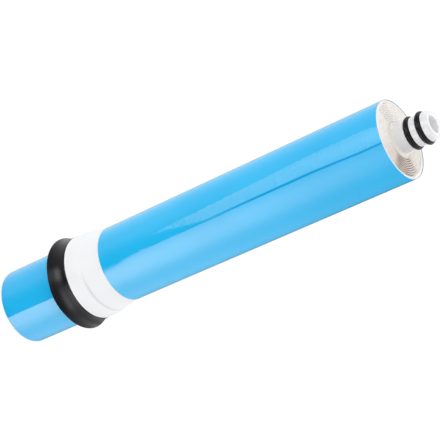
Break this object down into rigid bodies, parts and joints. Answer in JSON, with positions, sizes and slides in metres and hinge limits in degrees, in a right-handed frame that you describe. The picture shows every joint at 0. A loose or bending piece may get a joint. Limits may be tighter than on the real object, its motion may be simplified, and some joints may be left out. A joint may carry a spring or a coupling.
{
  "type": "reverse osmosis membrane element",
  "caption": "Spiral-wound water filter element: wound membrane roll in film on a perforated tube, with a lip seal near one end and an O-ring stub at the other.",
  "frame": {"origin": "centre of the feed end face, at the bottom of the standing element", "axes": "+Z along the permeate tube, from the closed feed end up to the product stub; +X towards the outer end of the membrane leaf"},
  "size_m": [0.058, 0.058, 0.298],
  "materials": {
    "tube_plastic": "smooth moulded white plastic",
    "black_rubber": "smooth moulded rubber",
    "carrier_tricot": "resin-stiffened knitted cloth, soaked with amber glue along its edges",
    "membrane_sheet": "calendered polyester backing with a cast film",
    "spacer_net": "extruded net",
    "white_tape": "glossy adhesive tape",
    "blue_film": "tight glossy wrap film"
  },
  "bodies": {
    "root": {"permeate_tube": "tube_plastic", "inner_o_ring": "black_rubber", "outer_o_ring": "black_rubber", "permeate_carrier": "carrier_tricot", "membrane_leaf": "membrane_sheet", "feed_spacer": "spacer_net", "roll_tape": "white_tape", "outer_film": "blue_film", "brine_seal": "black_rubber", "seal_tape": "white_tape"}
  },
  "joints": []
}
